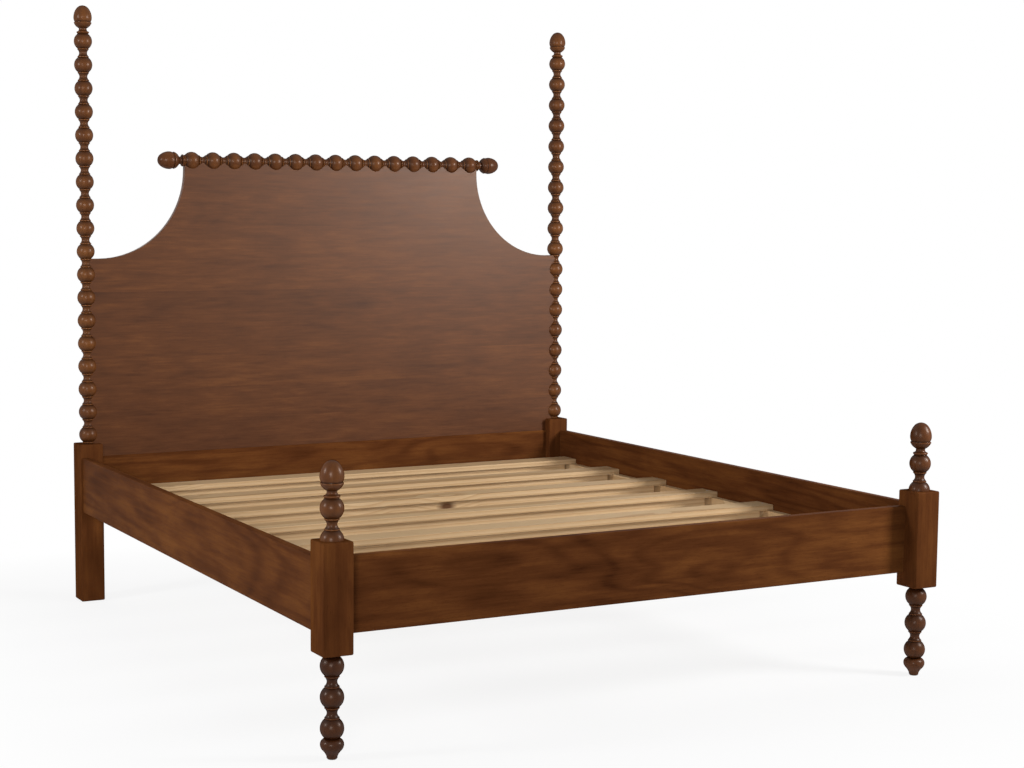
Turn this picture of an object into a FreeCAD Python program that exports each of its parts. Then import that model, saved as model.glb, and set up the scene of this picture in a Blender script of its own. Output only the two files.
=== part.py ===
import FreeCAD, Part
import math
import os
import re

import Sketcher

# A four-post bed frame with bobbin-turned posts. +Z is up, the head is at +Y, the foot at -Y,
# and the origin is on the floor under the middle of the bed. All lengths are millimetres.

# Driving sizes, grouped by the piece that carries them.
sizes = {
    # spacing of the four post axes
    "post_spacing_width": 1940,
    "post_spacing_length": 2134,
    # height of a head post and its spire, up to the finial's seat
    "post_height": 2014.2,
    # clearances, and how far a cut runs past the face that it opens
    "glue_gap": 0.1,
    "running_gap": 0.3,
    "cut_overrun": 5,
    # floor glides
    "glide_radius": 12,
    "glide_height": 2,
    # square blocks of the posts
    "block_side": 85,
    "block_ease": 4,
    "block_top": 568,
    # the turned bead that every post and the crest rail repeat
    "bead_radius": 31.5,
    "least_bead_pitch": 80,
    "quirk_radius": 18.4,
    "ring_radius": 20,
    "ring_width": 4,
    "taper_length": 6.3,
    "neck_radius": 13.7,
    "first_bead_rise": 31.7,
    "post_bead_count": 9,
    "leg_bead_count": 3,
    "foot_bead_count": 2,
    # turned foot under each foot post
    "toe_radius": 14,
    "toe_height": 1,
    "toe_flare_radius": 24.6,
    "bulb_radius": 31.2,
    "bulb_low_radius": 21,
    "bulb_low_height": 15.8,
    "bulb_top_radius": 16.6,
    "bulb_top_height": 15.7,
    # acorn finial
    "finial_tenon_radius": 6,
    "finial_tenon_length": 24,
    "finial_base_radius": 19.5,
    "finial_base_height": 2.2,
    "collar_radius": 21.8,
    "collar_height": 6.2,
    "finial_flare_radius": 18,
    "finial_flare_height": 6.4,
    "finial_neck_radius": 13.6,
    "finial_neck_height": 4.7,
    "cup_radius": 30.6,
    "cup_height": 18.5,
    "cup_rim_height": 2.6,
    "acorn_groove_height": 1.4,
    "egg_radius": 31.7,
    "egg_low_height": 14,
    "egg_side_radius": 52.4,
    "egg_tip_radius": 26,
    # screw that joins each spire to its post
    "bolt_radius": 4,
    "bolt_length": 70,
    "bolt_end_gap": 5,
    "insert_radius": 6,
    "insert_length": 30,
    # headboard
    "panel_thickness": 22,
    "panel_ease": 2,
    "groove_floor": 6,
    "shoulder_flat": 42.5,
    "least_scoop_radius": 300,
    "brow_height": 32.3,
    "lower_rail_thickness": 32,
    "lower_rail_groove": 12,
    # foot rail and side rails
    "rail_thickness": 25.4,
    "rail_top": 521,
    "rail_ease": 2.5,
    "foot_rail_bottom": 318,
    "foot_rail_setback": 11.6,
    "side_rail_bottom": 326,
    "side_rail_setout": 33.6,
    "tenon_thickness": 12.7,
    "tenon_length": 38,
    "tenon_shoulder": 20,
    # slats, their ribs and the cleats that carry them
    "cleat_width": 25,
    "cleat_height": 38,
    "cleat_top": 400,
    "cleat_end_gap": 20,
    "slat_count": 7,
    "slat_width": 90,
    "slat_thickness": 19,
    "slat_end_gap": 1.5,
    "slat_margin": 80,
    "slat_ease": 2,
    "rib_width": 38,
    "rib_depth": 60,
    "rib_end_gap": 12,
    # hook plates in the side rails and slotted plates in the posts
    "plate_width": 16,
    "plate_height": 150,
    "plate_thickness": 3,
    "plate_screw_inset": 9,
    "hook_thickness": 3,
    "hook_reach": 10,
    "hook_height": 20,
    "hook_margin": 80,
    "hook_gap": 0.5,
    "lip_drop": 8,
    # wood screws
    "screw_radius": 2,
    "screw_head_radius": 4,
    "screw_head_height": 2.2,
    "plate_screw_length": 30,
    "cleat_screw_length": 42,
    "slat_screw_length": 40,
}

# Sizes and places that follow from the driving sizes.
derived = {
    "post_x": "post_spacing_width / 2",
    "post_y": "post_spacing_length / 2",
    "block_half": "block_side / 2",
    "block_face_x": "post_x - block_half",
    "block_face_y": "post_y - block_half",
    "bead_end": "sqrt(bead_radius^2 - quirk_radius^2)",
    "ring_end": "bead_end + ring_width",
    "taper_end": "ring_end + taper_length",
    "bead_room": "post_height - block_top - first_bead_rise - bead_end",
    "bead_steps": "floor(bead_room / least_bead_pitch)",
    "bead_pitch": "bead_room / bead_steps",
    "spire_bead_count": "bead_steps + 1 - post_bead_count",
    # heights up a foot post
    "toe_top": "glide_height + toe_height",
    "toe_join_radius": "bulb_radius - bulb_low_radius + sqrt(bulb_low_radius^2 - bulb_low_height^2)",
    "toe_flare_height": "sqrt(toe_flare_radius^2 - (toe_flare_radius - toe_join_radius + toe_radius)^2)",
    "toe_join": "toe_top + toe_flare_height",
    "bulb_middle": "toe_join + bulb_low_height",
    "ankle": "bulb_middle + bulb_top_height",
    "leg_last_bead": "ankle + bead_end",
    "leg_first_bead": "leg_last_bead + (leg_bead_count - 1) * bead_pitch",
    "foot_block_bottom": "leg_first_bead + first_bead_rise",
    "foot_top": "block_top + (foot_bead_count - 1) * bead_pitch + bead_end",
    # heights up a head post
    "post_first_bead": "block_top + first_bead_rise",
    "post_last_bead": "post_first_bead + (post_bead_count - 1) * bead_pitch",
    "seam": "post_last_bead + bead_pitch / 2",
    "spire_first_bead": "seam + bead_pitch / 2",
    "spire_top": "post_height",
    # heights up a finial, from its seat
    "collar_top": "finial_base_height + collar_height",
    "finial_flare_top": "collar_top + finial_flare_height",
    "cup_bottom": "finial_flare_top + finial_neck_height",
    "cup_rim": "cup_bottom + cup_height",
    "cup_centre": "(cup_radius^2 - finial_neck_radius^2 + cup_height^2) / (2 * cup_height)",
    "cup_bowl_radius": "sqrt(finial_neck_radius^2 + cup_centre^2)",
    "acorn_groove_radius": "cup_radius - cup_rim_height",
    "acorn_groove": "cup_rim + cup_rim_height",
    "egg_base": "acorn_groove + acorn_groove_height",
    "egg_swell": "egg_radius - acorn_groove_radius",
    "egg_low_radius": "(egg_swell^2 + egg_low_height^2) / (2 * egg_swell)",
    "egg_middle": "egg_base + egg_low_height",
    "egg_side_offset": "egg_side_radius - egg_radius",
    "egg_centre_gap": "egg_side_radius - egg_tip_radius",
    "egg_tip_rise": "sqrt(egg_centre_gap^2 - egg_side_offset^2)",
    "egg_join_radius": "egg_tip_radius * egg_side_offset / egg_centre_gap",
    "egg_join": "egg_middle + egg_tip_rise + egg_tip_radius * egg_tip_rise / egg_centre_gap",
    "egg_top": "egg_middle + egg_tip_rise + egg_tip_radius",
    # headboard outline
    "panel_half": "post_x - groove_floor - glue_gap",
    "scoop_start": "panel_half - shoulder_flat",
    "crest_room": "2 * (scoop_start - least_scoop_radius - ring_end)",
    "crest_bead_count": "floor(crest_room / bead_pitch) + 1",
    "crest_first_bead": "-(crest_bead_count - 1) / 2 * bead_pitch",
    "crest_end": "ring_end - crest_first_bead",
    "panel_top_half": "crest_end - glue_gap",
    "panel_bottom": "rail_top - lower_rail_groove",
    "shoulder": "post_last_bead - bead_end",
    "scoop_radius": "scoop_start - panel_top_half",
    "brow": "shoulder + scoop_radius",
    "crest_height": "brow + brow_height",
    "panel_top": "crest_height - groove_floor - glue_gap",
    # rails, cleats and slats
    "foot_rail_front": "-post_y + foot_rail_setback",
    "foot_rail_middle": "foot_rail_front + rail_thickness / 2",
    "rail_outer": "post_x + side_rail_setout",
    "rail_inner": "rail_outer - rail_thickness",
    "rail_middle": "rail_outer - rail_thickness / 2",
    "cleat_inner": "rail_inner - cleat_width",
    "cleat_half_length": "block_face_y - cleat_end_gap",
    "slat_first": "-block_face_y + slat_margin",
    "slat_pitch": "-slat_first * 2 / (slat_count - 1)",
    "slat_top": "cleat_top + slat_thickness",
    # hook plates
    "plate_middle": "(side_rail_bottom + rail_top) / 2",
    "plate_screw_rise": "plate_height / 2 - plate_screw_inset",
    "hook_spacing": "plate_height - hook_margin",
    "hook_seat": "plate_middle - hook_height / 2",
    "slot_height": "hook_height + lip_drop + hook_gap",
}

sides = {"left": -1, "right": 1}
ends = {"foot": -1, "head": 1}
along_x = FreeCAD.Vector(1, 0, 0)
along_y = FreeCAD.Vector(0, 1, 0)
quarter_degrees = 90
# how much of an edge's direction lies along an axis that it is said to follow
parallel_share = 0.99

doc = FreeCAD.newDocument("bed_frame")
sheet = doc.addObject("Spreadsheet::Sheet", "sizes")
for row, (alias, size) in enumerate(sizes.items(), start=1):
    sheet.set(f"A{row}", str(size))
    sheet.setAlias(f"A{row}", alias)
doc.recompute()

subparts = []


def formula(text):
    # Spell out a size in cells of the sheet.
    def spell(match):
        word = match.group()
        if word in derived:
            return "(" + formula(derived[word]) + ")"
        return "sizes." + word if word in sizes else word

    return re.sub(r"[a-z_]+", spell, text)


def measure(text):
    return float(sheet.evalExpression(formula(text)))


def bind(thing, target, text):
    thing.setExpression(target, formula(text))


def place(thing, x, y, z, turn=None):
    # Set a thing's place by formulas, after an optional turn.
    if turn:
        thing.Placement = FreeCAD.Placement(FreeCAD.Vector(), turn)
    for axis, text in zip("xyz", (x, y, z)):
        bind(thing, f"Placement.Base.{axis}", text)


def keep(thing, label):
    # Name a finished sub-part; its label is also its file's name.
    thing.Label = label
    subparts.append(thing)
    return thing


def across(sign, near, far):
    # A pair of planes at two distances from the middle of the bed, on one side of it.
    return (near, far) if sign > 0 else (f"-({far})", f"-({near})")


def about(middle, thickness):
    # A pair of planes either side of a middle plane.
    return (f"{middle} - ({thickness}) / 2", f"{middle} + ({thickness}) / 2")


def slab(name, x, y, z):
    # A square-edged box between three pairs of planes.
    box = doc.addObject("Part::Box", name)
    for length, axis, (low, high) in zip(("Length", "Width", "Height"), "xyz", (x, y, z)):
        bind(box, length, f"({high}) - ({low})")
        bind(box, f"Placement.Base.{axis}", low)
    return box


def rod(name, radius, length, x, y, z, turn=None):
    cylinder = doc.addObject("Part::Cylinder", name)
    bind(cylinder, "Radius", radius)
    bind(cylinder, "Height", length)
    place(cylinder, x, y, z, turn)
    return cylinder


def join(name, pieces):
    whole = doc.addObject("Part::MultiFuse", name)
    whole.Shapes = pieces
    return whole


def group(name, pieces):
    together = doc.addObject("Part::Compound", name)
    together.Links = pieces
    return together


def cut(name, base, cutters):
    result = doc.addObject("Part::Cut", name)
    result.Base = base
    result.Tool = cutters[0] if len(cutters) == 1 else join(name + "_cutters", cutters)
    return result


def new_body(name, x="0", y="0", z="0", turn=None):
    body = doc.addObject("PartDesign::Body", name)
    place(body, x, y, z, turn)
    return body


def datum(body, role):
    return next(feature for feature in body.Origin.OriginFeatures if feature.Role == role)


def new_sketch(body, name, plane):
    sketch = body.newObject("Sketcher::SketchObject", name)
    sketch.AttachmentSupport = [(datum(body, plane), "")]
    sketch.MapMode = "FlatFace"
    return sketch


def arc_between(start, stop, radius, turn):
    # The shorter arc between two points; turn is 1 for counterclockwise and -1 for clockwise.
    chord = stop - start
    rise = math.sqrt(max(radius**2 - (chord.Length / 2) ** 2, 0))
    normal = FreeCAD.Vector(-chord.y, chord.x, 0) / chord.Length
    centre = (start + stop) / 2 + normal * rise * turn
    first, last = (start, stop) if turn > 0 else (stop, start)
    angles = [math.atan2(point.y - centre.y, point.x - centre.x) for point in (first, last)]
    circle = Part.Circle(centre, FreeCAD.Vector(0, 0, 1), radius)
    return Part.ArcOfCircle(circle, angles[0], angles[1])


def outline(sketch, *steps):
    # Draw a closed outline whose corners are formulas. A step is (x, y), reached by a line,
    # or (x, y, radius, turn), reached by an arc. The first step is where the outline starts.
    corners = [FreeCAD.Vector(measure(step[0]), measure(step[1]), 0) for step in steps]
    tails = []
    for index, step in enumerate(steps):
        start, stop = corners[index - 1], corners[index]
        if len(step) > 2:
            curve = sketch.addGeometry(arc_between(start, stop, measure(step[2]), step[3]), False)
            radius = sketch.addConstraint(Sketcher.Constraint("Radius", curve, measure(step[2])))
            bind(sketch, f"Constraints[{radius}]", step[2])
        else:
            curve = sketch.addGeometry(Part.LineSegment(start, stop), False)
        backwards = len(step) > 2 and step[3] < 0
        tails.append((curve, 2, 1) if backwards else (curve, 1, 2))
    for index, step in enumerate(steps):
        curve, _, tail = tails[index]
        follower, head, _ = tails[(index + 1) % len(steps)]
        sketch.addConstraint(Sketcher.Constraint("Coincident", curve, tail, follower, head))
        for kind, axis, text in (("DistanceX", -2, step[0]), ("DistanceY", -1, step[1])):
            if text == "0":
                sketch.addConstraint(Sketcher.Constraint("PointOnObject", curve, tail, axis))
                continue
            limit = Sketcher.Constraint(kind, -1, 1, curve, tail, measure(text))
            bind(sketch, f"Constraints[{sketch.addConstraint(limit)}]", text)


def revolve(body, name, height, *steps):
    # Turn a profile of (radius, height) steps about the body's upright axis.
    sketch = new_sketch(body, name + "_profile", "XZ_Plane")
    bind(sketch, "AttachmentOffset.Base.y", height)
    outline(sketch, *steps)
    turned = body.newObject("PartDesign::Revolution", name)
    turned.Profile = sketch
    turned.ReferenceAxis = (sketch, ["V_Axis"])
    body.Tip = turned
    return turned


def row_of(body, feature, axis, count, length, backwards=False):
    # Repeat a feature in a straight row.
    pattern = body.newObject("PartDesign::LinearPattern", feature.Name + "_row")
    pattern.Originals = [feature]
    pattern.Direction = (datum(body, axis), [""])
    pattern.Reversed = backwards
    bind(pattern, "Length", length)
    bind(pattern, "Occurrences", count)
    body.Tip = pattern


def beads(body, name, first, count, downward=False):
    # A row of beads from neck to neck: each has a ring at both ends and tapers to the neck.
    turning = (
        ("neck_radius", "-taper_end"),
        ("ring_radius", "-ring_end"),
        ("ring_radius", "-bead_end"),
        ("quirk_radius", "-bead_end"),
        ("quirk_radius", "bead_end", "bead_radius", 1),
        ("ring_radius", "bead_end"),
        ("ring_radius", "ring_end"),
        ("neck_radius", "taper_end"),
    )
    low = (("0", "-bead_pitch / 2"), ("neck_radius", "-bead_pitch / 2"))
    high = (("neck_radius", "bead_pitch / 2"), ("0", "bead_pitch / 2"))
    bead = revolve(body, name, first, *low, *turning, *high)
    row_of(body, bead, "Z_Axis", count, f"({count} - 1) * bead_pitch", downward)


def prism(body, name, x, y, z, ease, picks=None):
    # A padded rectangle; ease rounds every edge, or those that run along the axis in picks.
    sketch = new_sketch(body, name + "_outline", "XY_Plane")
    bind(sketch, "AttachmentOffset.Base.z", z[0])
    outline(sketch, (x[0], y[0]), (x[1], y[0]), (x[1], y[1]), (x[0], y[1]))
    pad = body.newObject("PartDesign::Pad", name)
    pad.Profile = sketch
    bind(pad, "Length", f"({z[1]}) - ({z[0]})")
    doc.recompute()

    def wanted(edge):
        return not picks or abs(edge.tangentAt(edge.FirstParameter).dot(picks)) > parallel_share

    round_edges(body, pad, ease, wanted)


def round_edges(body, base, radius, wanted):
    names = [f"Edge{number}" for number, edge in enumerate(base.Shape.Edges, start=1) if wanted(edge)]
    fillet = body.newObject("PartDesign::Fillet", base.Name + "_eased")
    fillet.Base = (base, names)
    bind(fillet, "Radius", radius)
    body.Tip = fillet
    doc.recompute()


def board(name, x, y, z, ease, along):
    # A board with its long edges eased.
    body = new_body(name)
    prism(body, name + "_stock", x, y, z, ease, along)
    return body


def quarter_turn(axis, sign):
    return FreeCAD.Rotation(axis, quarter_degrees * sign)


# Wood screws. A row of them stands in a body of its own, and a second body a glue gap larger
# cuts the holes. A screw points down its own axis from a flush head.
def screw_row(name, length, count, spacing, x, y, z, turn=None):
    rows = []
    for suffix, gap in (("", "0"), ("_holes", "glue_gap")):
        body = new_body(name + suffix, x, y, z, turn)
        head, shank = f"screw_head_radius + {gap}", f"screw_radius + {gap}"
        neck, tip = "-screw_head_height", f"-({length} + {gap})"
        profile = (("0", "0"), ("0", tip), (shank, tip), (shank, neck), (head, "0"))
        screw = revolve(body, name + suffix + "_turning", "0", *profile)
        row_of(body, screw, "Y_Axis", count, f"({count} - 1) * ({spacing})")
        rows.append(body)
    return rows


cleat_rows = {}
slat_rows = {}
hook_rows = {}
slot_rows = {}
for side, sign in sides.items():
    cleat_rows[side] = screw_row(
        f"cleat_screws_{side}", "cleat_screw_length", "(slat_count - 1)", "slat_pitch",
        f"{sign} * cleat_inner", "slat_first + slat_pitch / 2", "cleat_top - cleat_height / 2",
        quarter_turn(along_y, -sign),
    )
    slat_rows[side] = screw_row(
        f"slat_screws_{side}", "slat_screw_length", "slat_count", "slat_pitch",
        f"{sign} * (cleat_inner + cleat_width / 2)", "slat_first", "slat_top",
    )
    for end, way in ends.items():
        spots = (f"{sign} * rail_middle", f"{way} * block_face_y")
        for rows, kind, tip in ((hook_rows, "hook", -way), (slot_rows, "slot", way)):
            rows[side, end] = screw_row(
                f"{kind}_screws_{side}_{end}", "plate_screw_length", "2", "2 * plate_screw_rise",
                *spots, f"plate_middle - {tip} * plate_screw_rise", quarter_turn(along_x, tip),
            )
for label, rows in (
    ("cleat_screws", cleat_rows),
    ("slat_screws", slat_rows),
    ("hook_plate_screws", hook_rows),
    ("slot_plate_screws", slot_rows),
):
    keep(group(label, [row for row, _ in rows.values()]), label)


# Hook plates let into the ends of the side rails, and slotted plates let into the posts.
def plate_planes(sign, way, near, far, gap="0"):
    width = f"plate_width + 2 * {gap}"
    height = f"plate_height + 2 * {gap}"
    x = across(sign, *about("rail_middle", width))
    return x, across(way, near, far), about("plate_middle", height)


def hook_planes(sign, way, near, far, low, high, gap="0"):
    x = across(sign, *about("rail_middle", f"hook_thickness + 2 * {gap}"))
    return x, across(way, near, far), (low, high)


plate_inside = ("block_face_y - plate_thickness", "block_face_y")
plate_outside = ("block_face_y", "block_face_y + plate_thickness")
for (side, end), (_, holes) in hook_rows.items():
    sign, way = sides[side], ends[end]
    spot = f"{side}_{end}"
    pieces = [slab(f"hook_plate_{spot}", *plate_planes(sign, way, *plate_inside))]
    slots = []
    for step in (-1, 1):
        seat = f"hook_seat + {step} * hook_spacing / 2"
        reach = "block_face_y + hook_reach"
        lip = "block_face_y + plate_thickness + hook_gap"
        arm = hook_planes(sign, way, "block_face_y", reach, seat, f"{seat} + hook_height")
        drop = hook_planes(sign, way, lip, reach, f"{seat} - lip_drop", seat)
        slot = hook_planes(sign, way, *plate_outside, seat, f"{seat} + slot_height", "hook_gap")
        pieces += [slab(f"hook_arm_{spot}", *arm), slab(f"hook_lip_{spot}", *drop)]
        slots.append(slab(f"slot_{spot}", *slot))
    hooks = join(f"hooks_{spot}", pieces)
    keep(cut(f"rail_hook_plate_{spot}", hooks, [holes]), f"rail_hook_plate_{spot}")
    plate = slab(f"slot_plate_{spot}", *plate_planes(sign, way, *plate_outside))
    slots.append(slot_rows[side, end][1])
    keep(cut(f"post_slot_plate_{spot}", plate, slots), f"post_slot_plate_{spot}")


def hardware_recess(side, end):
    # Recess for a slotted plate in a post's block, the pocket for its hooks, and screw holes.
    sign, way = sides[side], ends[end]
    planes = plate_planes(sign, way, *plate_outside, "glue_gap")
    pocket = hook_planes(
        sign, way, "block_face_y", "block_face_y + hook_reach + 2 * hook_gap",
        "hook_seat - hook_spacing / 2 - lip_drop - hook_gap",
        "hook_seat + hook_spacing / 2 + slot_height + hook_gap", "2 * hook_gap",
    )
    recess = slab(f"plate_recess_{side}_{end}", *planes)
    return [recess, slab(f"hook_pocket_{side}_{end}", *pocket), slot_rows[side, end][1]]


def tenon_planes(y, bottom, gap="0"):
    length = f"block_face_x + tenon_length + {gap}"
    x = (f"-({length})", length)
    z = (f"{bottom} + tenon_shoulder - {gap}", f"rail_top - tenon_shoulder + {gap}")
    return x, about(y, f"tenon_thickness + 2 * {gap}"), z


def post_block(body, name, bottom):
    square = ("-block_half", "block_half")
    prism(body, name + "_block", square, square, (bottom, "block_top"), "block_ease")


def finial_socket(name, x, y, z, turn=None):
    # Hole for a finial's tenon, bored down the upright axis or along a turn of it.
    body = new_body(name, x, y, z, turn)
    bore = "finial_tenon_radius + glue_gap"
    depth = "-finial_tenon_length - glue_gap"
    revolve(body, name + "_bore", "0", ("0", "0"), ("0", depth), (bore, depth), (bore, "0"))
    return body


def bead_planes(x, y):
    # Planes that clear the fattest part of a turning.
    reach = "2 * (bead_radius + cut_overrun)"
    return about(x, reach), about(y, reach)


def head_post(side, sign):
    axis = (f"{sign} * post_x", "post_y")
    body = new_body(f"head_turning_{side}", *axis)
    post_block(body, f"head_{side}", "glide_height")
    beads(body, f"head_bead_{side}", "post_first_bead", "post_bead_count")
    inside = across(sign, "block_face_x - cut_overrun", "post_x - groove_floor")
    width = about("post_y", "panel_thickness + 2 * glue_gap")
    height = ("panel_bottom - glue_gap", "shoulder + glue_gap")
    groove = slab(f"panel_groove_{side}", inside, width, height)
    mortise = slab(f"head_mortise_{side}", *tenon_planes("post_y", "side_rail_bottom", "glue_gap"))
    depth = "bolt_length / 2 + bolt_end_gap"
    well = rod(
        f"insert_well_{side}", "insert_radius + glue_gap", f"{depth} + cut_overrun",
        *axis, f"seam - ({depth})",
    )
    cutters = [groove, mortise, well, *hardware_recess(side, "head")]
    keep(cut(f"head_post_{side}", body, cutters), f"head_post_{side}")


def foot_post(side, sign):
    axis = (f"{sign} * post_x", "-post_y")
    body = new_body(f"foot_turning_{side}", *axis)
    post_block(body, f"foot_{side}", "foot_block_bottom")
    beads(body, f"foot_bead_{side}", "block_top", "foot_bead_count")
    beads(body, f"leg_bead_{side}", "leg_first_bead", "leg_bead_count", downward=True)
    revolve(
        body, f"foot_bulb_{side}", "0",
        ("0", "glide_height"),
        ("toe_radius", "glide_height"),
        ("toe_radius", "toe_top"),
        ("toe_join_radius", "toe_join", "toe_flare_radius", -1),
        ("bulb_radius", "bulb_middle", "bulb_low_radius", 1),
        ("ring_radius", "ankle", "bulb_top_radius", 1),
        ("0", "ankle"),
    )
    trim = slab(f"foot_trim_{side}", *bead_planes(*axis), ("foot_top", "foot_top + bead_pitch"))
    tenon = tenon_planes("foot_rail_middle", "foot_rail_bottom", "glue_gap")
    mortise = slab(f"foot_mortise_{side}", *tenon)
    socket = finial_socket(f"foot_socket_{side}", *axis, "foot_top")
    cutters = [trim, mortise, socket, *hardware_recess(side, "foot")]
    keep(cut(f"foot_post_{side}", body, cutters), f"foot_post_{side}")


def spire(side, sign):
    axis = (f"{sign} * post_x", "post_y")
    body = new_body(f"spire_turning_{side}", *axis)
    beads(body, f"spire_bead_{side}", "spire_first_bead", "spire_bead_count")
    trim = slab(f"spire_trim_{side}", *bead_planes(*axis), ("spire_top", "spire_top + bead_pitch"))
    bore = rod(
        f"bolt_bore_{side}", "bolt_radius + glue_gap", "bolt_length / 2 + cut_overrun",
        *axis, "seam - cut_overrun",
    )
    socket = finial_socket(f"spire_socket_{side}", *axis, "spire_top")
    keep(cut(f"spire_{side}", body, [trim, bore, socket]), f"spire_{side}")
    bolt = rod(f"spire_bolt_{side}", "bolt_radius", "bolt_length", *axis, "seam - bolt_length / 2")
    keep(bolt, f"spire_bolt_{side}")
    length = "insert_length - running_gap"
    shell = rod(f"insert_shell_{side}", "insert_radius", length, *axis, "seam - insert_length")
    hole = "bolt_radius + running_gap"
    bore = rod(f"insert_bore_{side}", hole, length, *axis, "seam - insert_length")
    keep(cut(f"spire_insert_{side}", shell, [bore]), f"spire_insert_{side}")


def finial(label, x, y, z, turn=None):
    body = new_body(label, x, y, z, turn)
    revolve(
        body, label + "_turning", "0",
        ("0", "-finial_tenon_length"),
        ("finial_tenon_radius", "-finial_tenon_length"),
        ("finial_tenon_radius", "0"),
        ("finial_base_radius", "0"),
        ("finial_base_radius", "finial_base_height"),
        ("collar_radius", "finial_base_height + collar_height / 2"),
        ("finial_flare_radius", "collar_top"),
        ("finial_neck_radius", "finial_flare_top"),
        ("finial_neck_radius", "cup_bottom"),
        ("cup_radius", "cup_rim", "cup_bowl_radius", 1),
        ("acorn_groove_radius", "acorn_groove", "cup_rim_height", 1),
        ("acorn_groove_radius", "egg_base"),
        ("egg_radius", "egg_middle", "egg_low_radius", 1),
        ("egg_join_radius", "egg_join", "egg_side_radius", 1),
        ("0", "egg_top", "egg_tip_radius", 1),
    )
    keep(body, label)


def headboard_panel():
    body = new_body("panel_stock", y="post_y + panel_thickness / 2")
    sketch = new_sketch(body, "panel_outline", "XZ_Plane")
    outline(
        sketch,
        ("panel_half", "panel_bottom"),
        ("panel_half", "shoulder"),
        ("scoop_start", "shoulder"),
        ("panel_top_half", "brow", "scoop_radius", -1),
        ("panel_top_half", "panel_top"),
        ("-panel_top_half", "panel_top"),
        ("-panel_top_half", "brow"),
        ("-scoop_start", "shoulder", "scoop_radius", -1),
        ("-panel_half", "shoulder"),
        ("-panel_half", "panel_bottom"),
    )
    pad = body.newObject("PartDesign::Pad", "panel_pad")
    pad.Profile = sketch
    bind(pad, "Length", "panel_thickness")
    doc.recompute()
    low, high = measure("shoulder - shoulder_flat"), measure("panel_top - panel_ease")

    def on_scoop(edge):
        # an edge of the shoulders or the scoops, on the front or the back of the board
        through = abs(edge.tangentAt(edge.FirstParameter).dot(along_y)) > parallel_share
        return not through and low < edge.CenterOfMass.z < high

    round_edges(body, pad, "panel_ease", on_scoop)
    keep(body, "headboard_panel")


def crest_rail():
    body = new_body("crest_turning", "0", "post_y", "crest_height", quarter_turn(along_y, 1))
    beads(body, "crest_bead", "crest_first_bead", "crest_bead_count")
    cutters = []
    for side, sign in sides.items():
        past = across(sign, "crest_end", "crest_end + bead_pitch")
        y, z = bead_planes("post_y", "crest_height")
        cutters.append(slab(f"crest_trim_{side}", past, y, z))
        spot = (f"{sign} * crest_end", "post_y", "crest_height")
        cutters.append(finial_socket(f"crest_socket_{side}", *spot, quarter_turn(along_y, sign)))
    length = ("-crest_end - cut_overrun", "crest_end + cut_overrun")
    width = about("post_y", "panel_thickness + 2 * glue_gap")
    depth = ("crest_height - bead_radius - cut_overrun", "crest_height - groove_floor")
    cutters.append(slab("crest_groove", length, width, depth))
    keep(cut("crest_rail", body, cutters), "crest_rail")


def lower_rail():
    length = ("-block_face_x", "block_face_x")
    thickness = about("post_y", "lower_rail_thickness")
    height = ("side_rail_bottom", "rail_top")
    stock = board("lower_rail_stock", length, thickness, height, "rail_ease", along_x)
    tenons = slab("lower_rail_tenons", *tenon_planes("post_y", "side_rail_bottom"))
    width = about("post_y", "panel_thickness + 2 * glue_gap")
    groove = slab("lower_rail_groove_cut", length, width, ("panel_bottom", "rail_top + cut_overrun"))
    whole = join("lower_rail_whole", [stock, tenons])
    keep(cut("headboard_lower_rail", whole, [groove]), "headboard_lower_rail")


def foot_rail():
    length = ("-block_face_x", "block_face_x")
    thickness = about("foot_rail_middle", "rail_thickness")
    height = ("foot_rail_bottom", "rail_top")
    stock = board("foot_rail_stock", length, thickness, height, "rail_ease", along_x)
    tenons = slab("foot_rail_tenons", *tenon_planes("foot_rail_middle", "foot_rail_bottom"))
    keep(join("foot_rail", [stock, tenons]), "foot_rail")


def side_rail(side, sign):
    length = ("-block_face_y", "block_face_y")
    thickness = across(sign, "rail_inner", "rail_outer")
    height = ("side_rail_bottom", "rail_top")
    stock = board(f"rail_stock_{side}", thickness, length, height, "rail_ease", along_y)
    cutters = [cleat_rows[side][1]]
    for end, way in ends.items():
        recess = plate_planes(sign, way, *plate_inside, "glue_gap")
        cutters.append(slab(f"rail_recess_{side}_{end}", *recess))
        cutters.append(hook_rows[side, end][1])
    keep(cut(f"side_rail_{side}", stock, cutters), f"side_rail_{side}")
    length = ("-cleat_half_length", "cleat_half_length")
    thickness = across(sign, "cleat_inner", "rail_inner")
    strip = slab(f"cleat_stock_{side}", thickness, length, ("cleat_top - cleat_height", "cleat_top"))
    cutters = [cleat_rows[side][1], slat_rows[side][1]]
    keep(cut(f"slat_cleat_{side}", strip, cutters), f"slat_cleat_{side}")


def slats():
    holes = [slat_rows[side][1] for side in sides]
    reach = "rail_inner - slat_end_gap"
    rib_reach = "cleat_inner - rib_end_gap"
    for number in range(int(measure("slat_count"))):
        middle = f"slat_first + {number} * slat_pitch"
        length = (f"-({reach})", reach)
        stock = board(
            f"slat_stock_{number + 1}", length, about(middle, "slat_width"),
            ("cleat_top", "slat_top"), "slat_ease", along_x,
        )
        keep(cut(f"slat_{number + 1}", stock, holes), f"slat_{number + 1}")
        length = (f"-({rib_reach})", rib_reach)
        depth = ("cleat_top - rib_depth", "cleat_top")
        rib = slab(f"slat_rib_{number + 1}", length, about(middle, "rib_width"), depth)
        keep(rib, f"slat_rib_{number + 1}")


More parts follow.
